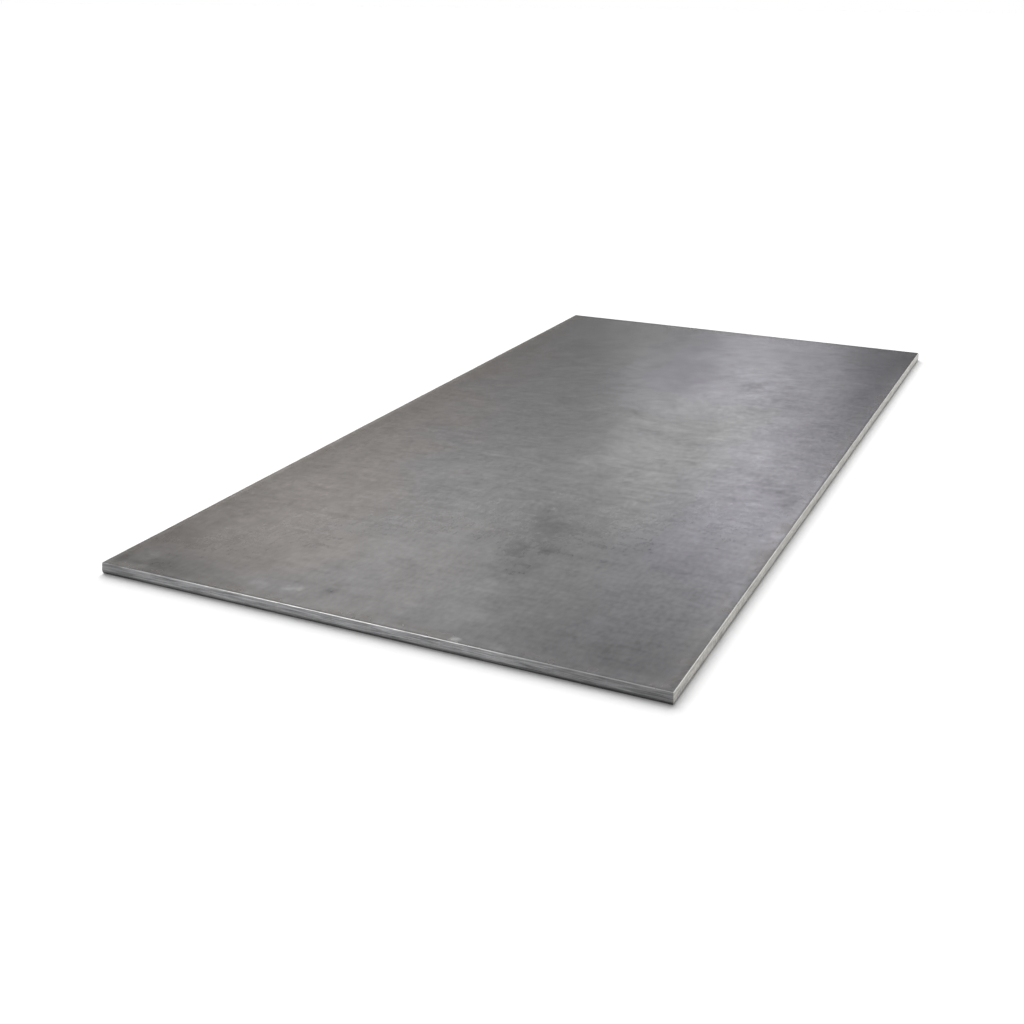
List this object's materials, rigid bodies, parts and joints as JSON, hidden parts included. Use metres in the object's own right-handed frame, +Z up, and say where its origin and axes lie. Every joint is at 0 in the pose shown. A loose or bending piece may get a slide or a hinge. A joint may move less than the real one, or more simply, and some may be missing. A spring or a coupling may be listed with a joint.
{
  "type": "steel plate",
  "caption": "Flat rectangular plate of mild steel with sheared edges and a dull mill finish, raw stock for cutting, welding, decking or covering.",
  "frame": {"origin": "centre of the bottom face", "axes": "+X along the plate's length, +Y across its width, +Z up through its thickness"},
  "size_m": [2, 1, 0.02],
  "materials": {
    "mill_steel": "dull satin mill finish with cloudy mottling, faint stains and scuffs, brighter sheared edges"
  },
  "bodies": {
    "root": {"steel_plate": "mill_steel"}
  },
  "joints": []
}
